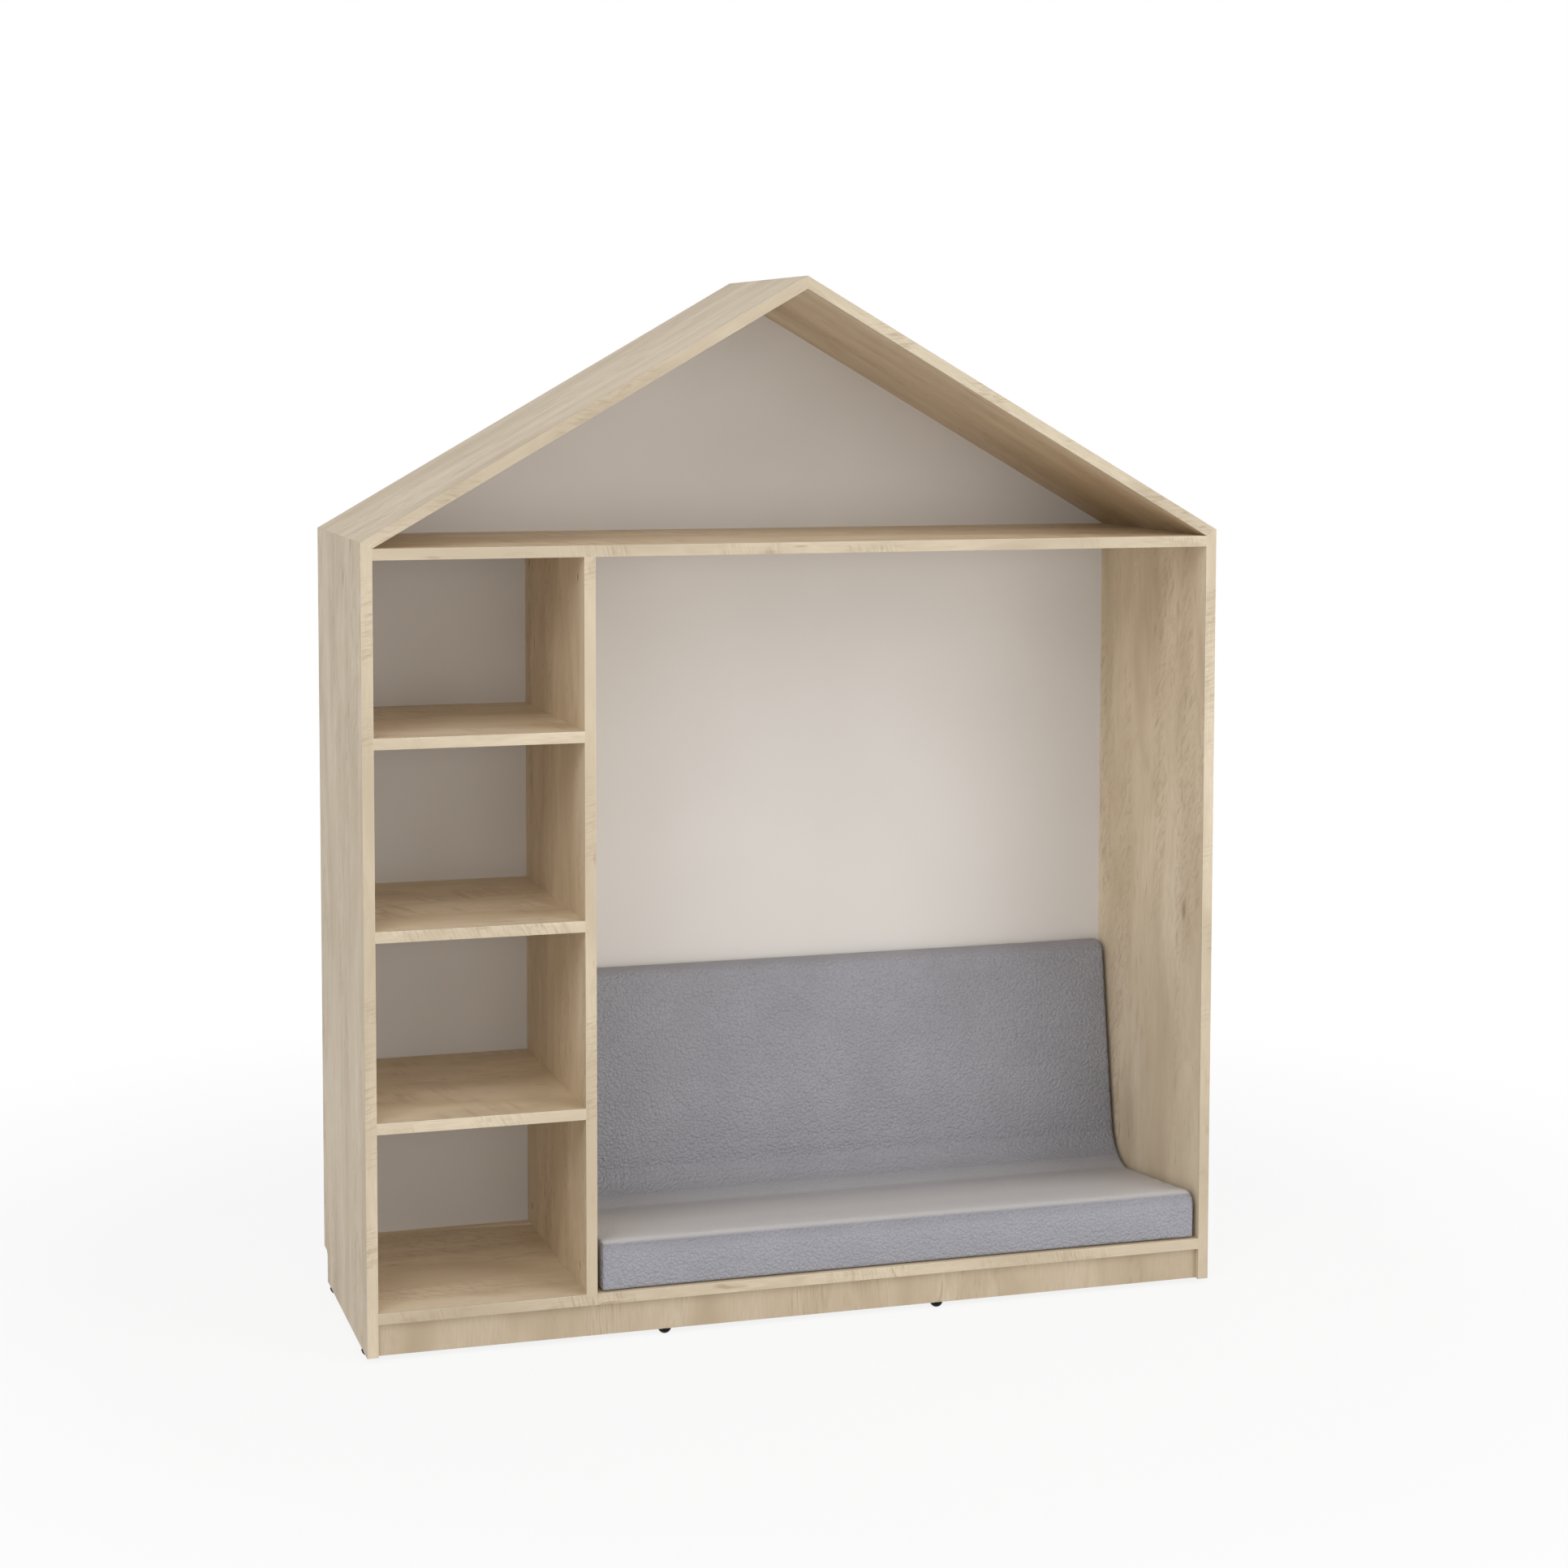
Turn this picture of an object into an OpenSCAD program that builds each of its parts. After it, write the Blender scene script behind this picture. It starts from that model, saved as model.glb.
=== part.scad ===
// House shaped bookcase with a padded reading nook, in millimetres.
// The origin is on the floor under the middle of the cabinet: X to the right, Y to the back, Z up.

/* [Overall] */
// Outer width across the side panels
body_w = 1430; // [1180:10:1720]
// Outer depth from the front edges to the rear edges
body_d = 450; // [370:5:540]
// Height of a side panel from its bottom edge to the eave
side_h = 1272; // [1200:4:1540]
// Slope of the roof panels
roof_angle = 30; // [24:1:38]

/* [Boards] */
// Thickness of every laminated board
board_t = 18; // [15:0.2:22]
// Thickness of the band glued to each front edge
band_t = 2; // [0.4:0.1:3]
// Thickness of the hardboard back
back_t = 3; // [2.5:0.1:4]
// Distance from the rear edges to the rear face of the back
back_inset = 9; // [6:0.5:14]
// Depth of the groove that holds the back
groove_depth = 8; // [5:0.5:9]

/* [Bays] */
// Clear width of the bays to the left of the divider
bay_w = 332; // [270:2:400]
// Distance from the top of one shelf to the top of the next
shelf_pitch = 300; // [250:5:360]

/* [Base] */
// Height of the plinths
plinth_h = 52; // [48:1:90]
// Distance of the front plinth behind the front edges
plinth_setback = 10; // [4:1:40]
// Depth of the skirting notch in a side panel
notch_d = 36; // [20:1:60]
// Height of the skirting notch
notch_h = 52; // [30:1:90]
// Radius in the corner of the skirting notch
notch_r = 12; // [4:1:18]
// Height of a plinth's cams above its lower edge
plinth_cam_up = 17; // [14:0.5:20]
// Height of a plinth's dowels above its cams
plinth_dowel_up = 20; // [16:0.5:24]

/* [Feet] */
// Diameter of a foot's dome
foot_d = 22; // [18:0.5:30]
// Height of a foot's dome below the boards
foot_h = 9; // [6:0.5:10]
// Diameter of the flat at the bottom of a dome
foot_flat_d = 9; // [5:0.5:11]
// Diameter of a foot's stud
stud_d = 6; // [5:0.5:7]
// Length of a foot's stud
stud_len = 25; // [20:1:30]
// Outer diameter of the threaded sleeve
sleeve_d = 10; // [9:0.5:12]
// Length of the threaded sleeve
sleeve_len = 16; // [12:1:18]
// Distance from the front edges to the middle of a side panel's front foot
side_foot_front = 47; // [36:1:70]
// Distance from the skirting notch to the middle of a side panel's rear foot
side_foot_rear = 39; // [30:1:60]

/* [Cam fittings] */
// Diameter of the pocket for a cam housing
cam_d = 15; // [12:0.5:15]
// Height of a cam housing
cam_h = 11.5; // [9:0.1:12.5]
// Depth of a cam pocket
cam_pocket = 13.5; // [11:0.1:14]
// Thickness of a cover over a cam
cover_t = 1; // [0.6:0.1:1.4]
// Distance from a board's end to the middle of its cams
cam_reach = 34; // [28:0.5:40]
// Diameter of a cam bolt's shaft and head
bolt_d = 7; // [5:0.1:7.4]
// Length of a cam bolt's head
bolt_head_len = 4; // [3:0.1:5]
// Diameter of the neck that the cam grips
bolt_neck_d = 4.2; // [3:0.1:5]
// Length of the neck
bolt_neck_len = 5; // [4:0.1:6]
// Diameter of a cam bolt's thread
bolt_thread_d = 5; // [4:0.1:6]
// Length of a cam bolt's thread
bolt_thread_len = 11; // [8:0.5:12]
// Distance from the front edges to the front cams
front_cam_inset = 48; // [40:1:70]
// Distance from the face of the back to the rear cams
rear_cam_inset = 32; // [25:1:50]
// Distance between a cam and the dowel beside it
dowel_pitch = 32; // [24:1:40]

/* [Dowels, biscuits and screws] */
// Diameter of a dowel
dowel_d = 8; // [6:0.5:8]
// Length of a dowel
dowel_len = 35; // [28:1:40]
// Length of the dowel that is in a board's face
dowel_in_face = 12; // [8:0.5:12]
// Length of a biscuit in a mitre
biscuit_len = 53; // [40:1:56]
// Width of a biscuit
biscuit_w = 19; // [14:0.5:20]
// Thickness of a biscuit
biscuit_t = 4; // [3:0.1:4.5]
// Diameter of a screw in the back
screw_d = 3; // [2.5:0.1:3.5]
// Length of a screw in the back
screw_len = 16; // [12:0.5:20]
// Diameter of a screw's head
screw_head_d = 6.4; // [5:0.1:7]
// Height of a screw's countersunk head
screw_head_h = 1.9; // [1.4:0.1:2.2]
// Distance from a board's end to its last screw
screw_inset = 60; // [40:5:90]

/* [Cushion] */
// Gap between the cushion's ends and the boards beside it
cushion_side_gap = 5; // [2:0.5:15]
// Distance of the cushion's front behind the front edges
cushion_setback = 2.5; // [0:0.5:20]
// Height of the cushion from its seat to the top of its back
cushion_h = 438; // [360:2:540]
// Thickness of the seat at its front
seat_front_t = 83; // [70:1:110]
// Thickness of the seat where it meets the back
seat_rear_t = 46; // [40:1:60]
// Thickness of the back where it meets the seat
rest_low_t = 104; // [85:1:125]
// Thickness of the back at its top
rest_top_t = 39; // [36:1:60]
// Radius in the corner between the seat and the back
lap_r = 70; // [40:1:90]
// Radius along the front of the seat and the top of the back
nose_r = 22; // [10:1:24]
// Radius along the hidden lower and rear edges
hem_r = 4; // [3:0.5:8]
// Radius round the cushion's ends
end_r = 7; // [5:0.5:12]
// How far the middle of the seat and of the back swell
crown = 4; // [0:0.5:10]
// How far the middle of each end is drawn in
end_draw = 4; // [0:0.5:8]
// Thickness of the upholstery over the foam
cover_wall = 1.5; // [1:0.1:2]

/* [Clearances] */
// Slack round a loose or glued fitting in its hole
fit = 0.05; // [0.02:0.01:0.1]
// Slack round a bolt or a stud where only its end is held
loose = 0.5; // [0.3:0.05:0.8]
// Slack round a cam housing in its pocket
cam_slack = 0.15; // [0.05:0.05:0.3]
// Slack at the bottom of a hole, slot or groove
end_slack = 1; // [0.5:0.1:1.5]
// Gap between the soft cushion and what it rests on
soft_gap = 0.3; // [0.2:0.05:0.6]

/* [Hidden] */
$fn = 48;

// How far a cutting shape runs past the face it cuts
past = 1;

// Levels, from the floor up
base_z = foot_h;
deck_under = base_z + plinth_h;
deck_top = deck_under + board_t;
eave_z = base_z + side_h;
roof_rise = board_t / cos(roof_angle);
inner_eave_z = eave_z + board_t * tan(roof_angle) - roof_rise;
ridge_z = eave_z + body_w / 2 * tan(roof_angle);
attic_under = inner_eave_z - board_t;

// Places across the width
side_x = body_w / 2;
inner_x = side_x - board_t;
divider_x = -inner_x + bay_w;
nook_x = divider_x + board_t;

// Places through the depth
front_y = -body_d / 2;
rear_y = body_d / 2;
back_y = rear_y - back_inset - back_t;
notch_y = rear_y - notch_d;
front_plinth_y = front_y + plinth_setback;
rear_plinth_y = notch_y - board_t;
front_cam_y = front_y + front_cam_inset;
rear_cam_y = back_y - rear_cam_inset;
front_dowel_y = front_cam_y + dowel_pitch;
rear_dowel_y = rear_cam_y - dowel_pitch;

laminate = "#d8c6a4";
band_colour = "#e0d0b0";

// ---- Where the boards meet -------------------------------------------------

// A joint is [place, turn, board whose end it is, board whose face it meets].
// In its own frame the contact plane is Z = 0, the end board is above it, the
// other board is below it, and a cam's pocket opens towards +X.
shelf_names = ["lower_shelf", "middle_shelf", "upper_shelf"];

function shelf_under(k) = deck_top + (k + 1) * shelf_pitch - board_t;

into_right = [0, 90, 0];
into_left = [0, 90, 180];

function level_joints(name, left, right, left_board, right_board, under, ys) = [
    for (y = ys) each [
        [[left, y, under + board_t / 2], into_right, name, left_board],
        [[right, y, under + board_t / 2], into_left, name, right_board]
    ]
];

function upright_joints(ys) = [
    for (y = ys) each [
        [[divider_x + board_t / 2, y, deck_top], [0, 0, 180], "divider", "bottom_panel"],
        [[divider_x + board_t / 2, y, attic_under], [0, 180, 0], "divider", "attic_shelf"]
    ]
];

// A plinth's cams open towards the space between the plinths.
function plinth_joints(name, y, facing, z) = [
    [[-inner_x, y, z], [facing * 90, 0, facing * 90], name, "left_side_panel"],
    [[inner_x, y, z], [facing * -90, 0, facing * 90], name, "right_side_panel"]
];

plinth_cam_z = base_z + plinth_cam_up;
plinth_dowel_z = plinth_cam_z + plinth_dowel_up;
plinth_mid_y = [front_plinth_y + board_t / 2, rear_plinth_y + board_t / 2];

// In the bottom panel the rear pair swap places, so that the rear plinth leaves its cams free.
cam_joints = concat(
    [for (k = [0:2]) each level_joints(shelf_names[k], -inner_x, divider_x,
        "left_side_panel", "divider", shelf_under(k), [front_cam_y, rear_cam_y])],
    level_joints("attic_shelf", -inner_x, inner_x,
        "left_side_panel", "right_side_panel", attic_under, [front_cam_y, rear_cam_y]),
    level_joints("bottom_panel", -inner_x, inner_x,
        "left_side_panel", "right_side_panel", deck_under, [front_cam_y, rear_dowel_y]),
    upright_joints([front_cam_y, rear_cam_y]),
    plinth_joints("front_plinth", plinth_mid_y[0], 1, plinth_cam_z),
    plinth_joints("rear_plinth", plinth_mid_y[1], -1, plinth_cam_z)
);

plinth_names = ["front_plinth", "rear_plinth"];
plinth_dowel_shares = [-2 / 3, 0, 2 / 3];

dowel_joints = concat(
    [for (k = [0:2]) each level_joints(shelf_names[k], -inner_x, divider_x,
        "left_side_panel", "divider", shelf_under(k), [front_dowel_y, rear_dowel_y])],
    level_joints("attic_shelf", -inner_x, inner_x,
        "left_side_panel", "right_side_panel", attic_under, [front_dowel_y, rear_dowel_y]),
    level_joints("bottom_panel", -inner_x, inner_x,
        "left_side_panel", "right_side_panel", deck_under, [front_dowel_y, rear_cam_y]),
    upright_joints([front_dowel_y, rear_dowel_y]),
    plinth_joints("front_plinth", plinth_mid_y[0], 1, plinth_dowel_z),
    plinth_joints("rear_plinth", plinth_mid_y[1], -1, plinth_dowel_z),
    [for (k = [0:1], share = plinth_dowel_shares)
        [[share * inner_x, plinth_mid_y[k], deck_under], [180, 0, 0], plinth_names[k], "bottom_panel"]]
);

// Screws in the back: [x, z, board that the screw bites into]
level_screw_shares = [-1, -0.5, 0, 0.5, 1];
divider_screw_shares = [0.125, 0.375, 0.625, 0.875];
back_screw_places = concat(
    [for (share = level_screw_shares) each [
        [share * (inner_x - screw_inset), deck_under + board_t / 2, "bottom_panel"],
        [share * (inner_x - screw_inset), attic_under + board_t / 2, "attic_shelf"]
    ]],
    [for (k = [0:2], x = [-inner_x + screw_inset, divider_x - screw_inset])
        [x, shelf_under(k) + board_t / 2, shelf_names[k]]],
    [for (share = divider_screw_shares)
        [divider_x + board_t / 2, deck_top + share * (attic_under - deck_top), "divider"]]
);

// Feet: [x, y, board that the foot is screwed into]
plinth_foot_x = inner_x / 3;
foot_places = [
    [-side_x + board_t / 2, front_y + side_foot_front, "left_side_panel"],
    [-side_x + board_t / 2, notch_y - side_foot_rear, "left_side_panel"],
    [side_x - board_t / 2, front_y + side_foot_front, "right_side_panel"],
    [side_x - board_t / 2, notch_y - side_foot_rear, "right_side_panel"],
    [-plinth_foot_x, plinth_mid_y[0], "front_plinth"],
    [plinth_foot_x, plinth_mid_y[0], "front_plinth"],
    [-plinth_foot_x, plinth_mid_y[1], "rear_plinth"],
    [plinth_foot_x, plinth_mid_y[1], "rear_plinth"]
];

module at(joint) {
    translate(joint[0]) rotate(joint[1]) children();
}

// ---- Holes -----------------------------------------------------------------

module cam_holes(name) {
    for (joint = cam_joints) {
        if (joint[2] == name) at(joint) {
            cylinder(d = bolt_d + 2 * loose, h = cam_reach + bolt_head_len / 2 + loose);
            translate([board_t / 2 - cam_pocket, 0, cam_reach]) rotate([0, 90, 0])
                cylinder(d = cam_d, h = cam_pocket + past);
        }
        if (joint[3] == name) at(joint)
            translate([0, 0, -bolt_thread_len - end_slack])
                cylinder(d = bolt_thread_d + 2 * fit, h = bolt_thread_len + end_slack + past);
    }
}

module dowel_holes(name) {
    for (joint = dowel_joints) {
        if (joint[2] == name) at(joint) translate([0, 0, -past])
            cylinder(d = dowel_d + 2 * fit, h = dowel_len - dowel_in_face + end_slack + past);
        if (joint[3] == name) at(joint) translate([0, 0, -dowel_in_face - end_slack])
            cylinder(d = dowel_d + 2 * fit, h = dowel_in_face + end_slack + past);
    }
}

module screw_holes(name) {
    for (place = back_screw_places) if (place[2] == name)
        translate([place[0], back_y + back_t, place[1]]) rotate([90, 0, 0])
            cylinder(d = screw_d + 2 * fit, h = screw_len + end_slack);
}

module foot_holes(name) {
    for (place = foot_places) if (place[2] == name) translate([place[0], place[1], base_z - past]) {
        cylinder(d = sleeve_d + 2 * fit, h = sleeve_len + past);
        cylinder(d = stud_d + 2 * loose, h = stud_len + end_slack + past);
    }
}

module holes(name) {
    cam_holes(name);
    dowel_holes(name);
    screw_holes(name);
    foot_holes(name);
}

// The house outline that lies `deep` inside the boards, down to the height `low`
function gable(deep, low) = let (
    x = inner_x + deep,
    z = inner_eave_z - deep * tan(roof_angle) + deep / cos(roof_angle)
) [[-x, low], [x, low], [x, z], [0, z + x * tan(roof_angle)], [-x, z]];

// A slab of the given front outline, from the depth y0 to the depth y1
module slab(outline, y0, y1) {
    translate([0, y1, 0]) rotate([90, 0, 0]) linear_extrude(y1 - y0) polygon(outline);
}

module back_groove() {
    slab(gable(groove_depth, deck_under - end_slack), back_y, back_y + back_t + 2 * fit);
}

// ---- Mitres ----------------------------------------------------------------

// The mitre's own frame has Z from the inner corner to the outer one
mitre_angle = atan2(board_t, roof_rise - board_t * tan(roof_angle));
eave_mid = [side_x - board_t / 2, 0, (eave_z + inner_eave_z) / 2];
ridge_mid = [0, 0, ridge_z - roof_rise / 2];
// The biscuits sit a little nearer the inner corner, where there is more board round them.
biscuit_shift = -2.5;
biscuit_row_y = [for (step = [-1:1])
    (front_dowel_y + rear_dowel_y) / 2 + step * (rear_dowel_y - front_dowel_y) / 3];

// A biscuit is the lens where two round discs cross.
module biscuit(extra) {
    disc_r = (pow(biscuit_len / 2, 2) + pow(biscuit_w / 2, 2)) / biscuit_w;
    depth = biscuit_t + 2 * extra;
    intersection() {
        translate([disc_r - biscuit_w / 2, 0, -depth / 2])
            cylinder(r = disc_r + extra, h = depth, $fn = 96);
        translate([biscuit_w / 2 - disc_r, 0, -depth / 2])
            cylinder(r = disc_r + extra, h = depth, $fn = 96);
    }
}

module biscuits_at(mid, turn, extra) {
    for (y = biscuit_row_y) translate([mid[0], y, mid[2]]) rotate([0, turn, 0])
        translate([0, 0, biscuit_shift]) biscuit(extra);
}

module all_biscuits(extra) {
    biscuits_at(eave_mid, mitre_angle, extra);
    mirror([1, 0, 0]) biscuits_at(eave_mid, mitre_angle, extra);
    biscuits_at(ridge_mid, 0, extra);
}

// ---- Boards ----------------------------------------------------------------

side_outline = [[-side_x, base_z], [-inner_x, base_z], [-inner_x, inner_eave_z], [-side_x, eave_z]];
roof_outline = [[-side_x, eave_z], [0, ridge_z], [0, ridge_z - roof_rise], [-inner_x, inner_eave_z]];

module skirting_notch() {
    depth = board_t + 2 * past;
    translate([-side_x - past, 0, 0]) {
        translate([0, notch_y, base_z - past])
            cube([depth, notch_d + past, notch_h + past - notch_r]);
        translate([0, notch_y + notch_r, base_z - past])
            cube([depth, notch_d + past - notch_r, notch_h + past]);
        translate([0, notch_y + notch_r, base_z + notch_h - notch_r]) rotate([0, 90, 0])
            cylinder(r = notch_r, h = depth);
    }
}

module side_blank() {
    difference() {
        slab(side_outline, front_y + band_t, rear_y);
        skirting_notch();
    }
}

module level_blank(left, right, under) {
    translate([left, front_y + band_t, under])
        cube([right - left, back_y - front_y - band_t, board_t]);
}

module level_band(left, right, under) {
    color(band_colour) translate([left, front_y, under]) cube([right - left, band_t, board_t]);
}

module left_side_panel() {
    color(laminate) difference() {
        side_blank();
        holes("left_side_panel");
        back_groove();
        all_biscuits(fit);
    }
}

module right_side_panel() {
    color(laminate) difference() {
        mirror([1, 0, 0]) side_blank();
        holes("right_side_panel");
        back_groove();
        all_biscuits(fit);
    }
}

module left_roof_panel() {
    color(laminate) difference() {
        slab(roof_outline, front_y + band_t, rear_y);
        back_groove();
        all_biscuits(fit);
    }
}

module right_roof_panel() {
    color(laminate) difference() {
        mirror([1, 0, 0]) slab(roof_outline, front_y + band_t, rear_y);
        back_groove();
        all_biscuits(fit);
    }
}

module attic_shelf() {
    color(laminate) difference() {
        level_blank(-inner_x, inner_x, attic_under);
        holes("attic_shelf");
    }
}

module shelf(k) {
    color(laminate) difference() {
        level_blank(-inner_x, divider_x, shelf_under(k));
        holes(shelf_names[k]);
    }
}

module bottom_panel() {
    color(laminate) difference() {
        level_blank(-inner_x, inner_x, deck_under);
        holes("bottom_panel");
    }
}

module divider() {
    color(laminate) difference() {
        translate([divider_x, front_y + band_t, deck_top])
            cube([board_t, back_y - front_y - band_t, attic_under - deck_top]);
        holes("divider");
    }
}

module plinth(k, y) {
    color(laminate) difference() {
        translate([-inner_x, y, base_z]) cube([2 * inner_x, board_t, plinth_h]);
        holes(plinth_names[k]);
    }
}

module back_panel() {
    color("#d9d3c9") difference() {
        slab(gable(groove_depth - end_slack, deck_under), back_y, back_y + back_t);
        for (place = back_screw_places) translate([place[0], back_y + back_t, place[1]]) {
            rotate([90, 0, 0]) cylinder(d = screw_d + 2 * fit, h = back_t + past);
            back_screw_head(fit);
        }
    }
}

// ---- Edge bands ------------------------------------------------------------

module left_side_band() {
    color(band_colour) slab(side_outline, front_y, front_y + band_t);
}

module right_side_band() {
    color(band_colour) mirror([1, 0, 0]) slab(side_outline, front_y, front_y + band_t);
}

module left_roof_band() {
    color(band_colour) slab(roof_outline, front_y, front_y + band_t);
}

module right_roof_band() {
    color(band_colour) mirror([1, 0, 0]) slab(roof_outline, front_y, front_y + band_t);
}

module divider_band() {
    color(band_colour) translate([divider_x, front_y, deck_top])
        cube([board_t, band_t, attic_under - deck_top]);
}

// ---- Fittings --------------------------------------------------------------

module mitre_biscuits() {
    color("#c9a877") all_biscuits(0);
}

// A dowel is a rod with a small chamfer at each end.
module dowel() {
    chamfer = 1;
    r = dowel_d / 2;
    translate([0, 0, -dowel_in_face]) rotate_extrude() polygon([
        [0, 0], [r - chamfer, 0], [r, chamfer], [r, dowel_len - chamfer],
        [r - chamfer, dowel_len], [0, dowel_len]
    ]);
}

module wooden_dowels() {
    color("#cfae7c") for (joint = dowel_joints) at(joint) dowel();
}

cam_run_d = cam_d - 2 * cam_slack;

// A cam housing is a drum with a blind hole for the bolt's head and a cross slot on its face.
module cam_housing() {
    slot_w = 1.6;
    slot_depth = 2;
    slot_len = 8;
    translate([board_t / 2 - cam_pocket, 0, cam_reach]) difference() {
        rotate([0, 90, 0]) cylinder(d = cam_run_d, h = cam_h);
        translate([cam_pocket - board_t / 2, 0, -cam_d])
            cylinder(d = bolt_d + 2 * loose, h = cam_d + bolt_head_len / 2 + loose);
        for (turn = [0, 90]) translate([cam_h, 0, 0]) rotate([turn, 0, 0])
            cube([2 * slot_depth, slot_w, slot_len], center = true);
    }
}

module cam_housings() {
    color("#a9abad") for (joint = cam_joints) at(joint) cam_housing();
}

module cam_bolt() {
    head_z = cam_reach - bolt_head_len / 2;
    translate([0, 0, -bolt_thread_len]) cylinder(d = bolt_thread_d, h = bolt_thread_len);
    cylinder(d = bolt_d, h = head_z - bolt_neck_len);
    translate([0, 0, head_z - bolt_neck_len]) cylinder(d = bolt_neck_d, h = bolt_neck_len);
    translate([0, 0, head_z]) cylinder(d = bolt_d, h = bolt_head_len);
}

module cam_bolts() {
    color("#b8babc") for (joint = cam_joints) at(joint) cam_bolt();
}

// The divider's cams are in sight, so they have covers.
module cam_covers() {
    color("#cdb893") for (joint = cam_joints) if (joint[2] == "divider") at(joint)
        translate([board_t / 2 - cam_pocket + cam_h, 0, cam_reach]) rotate([0, 90, 0])
            cylinder(d = cam_run_d, h = cover_t);
}

module back_screw_head(extra) {
    rotate([90, 0, 0])
        cylinder(d1 = screw_head_d + 2 * extra, d2 = screw_d + 2 * extra, h = screw_head_h);
}

// A back screw has a countersunk head with a cross recess, and a point.
module back_screw() {
    point_len = 3;
    tip_d = 0.6;
    recess = [3.4, 1.1, 0.8];
    difference() {
        union() {
            back_screw_head(0);
            rotate([90, 0, 0]) {
                cylinder(d = screw_d, h = screw_len - point_len);
                translate([0, 0, screw_len - point_len])
                    cylinder(d1 = screw_d, d2 = tip_d, h = point_len);
            }
        }
        for (turn = [0, 90]) rotate([0, turn, 0])
            cube([recess[0], 2 * recess[1], recess[2]], center = true);
    }
}

module back_screws() {
    color("#8d9093") for (place = back_screw_places)
        translate([place[0], back_y + back_t, place[1]]) back_screw();
}

module foot_sleeves() {
    color("#b0b2b4") for (place = foot_places) translate([place[0], place[1], base_z]) difference() {
        cylinder(d = sleeve_d, h = sleeve_len);
        translate([0, 0, -past]) cylinder(d = stud_d + 2 * fit, h = sleeve_len + 2 * past);
    }
}

// A foot is a dome cut flat below, moulded on a steel stud.
module foot(k) {
    ball_r = foot_d / 2;
    ball_z = sqrt(pow(ball_r, 2) - pow(foot_flat_d / 2, 2));
    color("#101010") translate([foot_places[k][0], foot_places[k][1], 0]) {
        intersection() {
            translate([0, 0, ball_z]) sphere(r = ball_r);
            cylinder(d = foot_d + 2 * past, h = foot_h);
        }
        translate([0, 0, foot_h / 2]) cylinder(d = stud_d, h = foot_h / 2 + stud_len);
    }
}

// ---- Cushion ---------------------------------------------------------------

cushion_left = nook_x + cushion_side_gap;
cushion_right = inner_x - cushion_side_gap;
cushion_half = (cushion_right - cushion_left) / 2;
cushion_mid = (cushion_right + cushion_left) / 2;
cushion_front = front_y + cushion_setback;
cushion_rear = back_y - soft_gap;
cushion_low = deck_top + soft_gap;
cushion_top = cushion_low + cushion_h;

// Corners of the side view, anticlockwise seen from the right:
// [y, z, radius, arc steps, steps along the next edge, whether that edge swells]
corners = [
    [cushion_rear, cushion_low, hem_r, 2, 1, 0],
    [cushion_rear, cushion_top, hem_r, 2, 1, 0],
    [cushion_rear - rest_top_t, cushion_top, nose_r, 4, 5, 1],
    [cushion_rear - rest_low_t, cushion_low + seat_rear_t, -lap_r, 5, 5, 1],
    [cushion_front, cushion_low + seat_front_t, nose_r, 4, 1, 0],
    [cushion_front, cushion_low, hem_r, 2, 1, 0]
];
corner_count = len(corners);

function spot(k) = [corners[k][0], corners[k][1]];
function unit(v) = v / norm(v);
function along(k) = unit(spot((k + 1) % corner_count) - spot(k));
// Outward normal of the edge after a corner
function outward(k) = [along(k)[1], -along(k)[0]];
function before(k) = (k + corner_count - 1) % corner_count;

// Where a corner lies once every edge has moved in by `inset`
function inset_spot(k, inset) = let (
    n1 = outward(before(k)),
    n2 = outward(k)
) spot(k) - inset * (n1 + n2) / (1 + n1 * n2);

// A rounded corner loses the inset from its radius, and the hollow one gains it.
least_r = 0.4;
function inset_radius(k, inset) = corners[k][2] < 0
    ? corners[k][2] - inset
    : max(corners[k][2] - inset, least_r);

function arc_centre(k, inset) = let (
    n1 = outward(before(k)),
    n2 = outward(k)
) inset_spot(k, inset) - inset_radius(k, inset) * (n1 + n2) / (1 + n1 * n2);

// Points of one rounded corner, each [y, z, normal y, normal z, swell]
function arc(k, inset) = let (
    n1 = outward(before(k)),
    n2 = outward(k),
    start = atan2(n1[1], n1[0]),
    turn = atan2(n1[0] * n2[1] - n1[1] * n2[0], n1 * n2),
    centre = arc_centre(k, inset),
    r = inset_radius(k, inset)
) [for (i = [0:corners[k][3]]) let (a = start + turn * i / corners[k][3])
    [centre[0] + r * cos(a), centre[1] + r * sin(a), cos(a), sin(a), 0]];

// Points between one corner's arc and the next, where the edge swells like half a sine
function edge(k, inset) = let (
    here = arc(k, inset),
    next = arc((k + 1) % corner_count, inset),
    a = here[len(here) - 1],
    b = next[0],
    steps = corners[k][4],
    n = outward(k)
) [for (i = [1:1:steps - 1]) let (s = i / steps)
    [a[0] + s * (b[0] - a[0]), a[1] + s * (b[1] - a[1]), n[0], n[1], corners[k][5] * sin(180 * s)]];

function outline(inset) = [for (k = [0:corner_count - 1]) each concat(arc(k, inset), edge(k, inset))];

// Stations from left to right, each [x from the middle, inset]: a rounded end, the middle, a rounded end
middle_stations = 7;
function stations(depth) = let (
    half = cushion_half - depth,
    r = end_r - depth,
    cap = [for (turn = [0:30:90]) [half - r * (1 - cos(turn)), depth + r * (1 - sin(turn))]]
) concat(
    [for (i = [0:3]) [-cap[i][0], cap[i][1]]],
    [for (i = [1:middle_stations]) [(half - r) * (2 * i / (middle_stations + 1) - 1), depth]],
    [for (i = [3:-1:0]) cap[i]]
);

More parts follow.
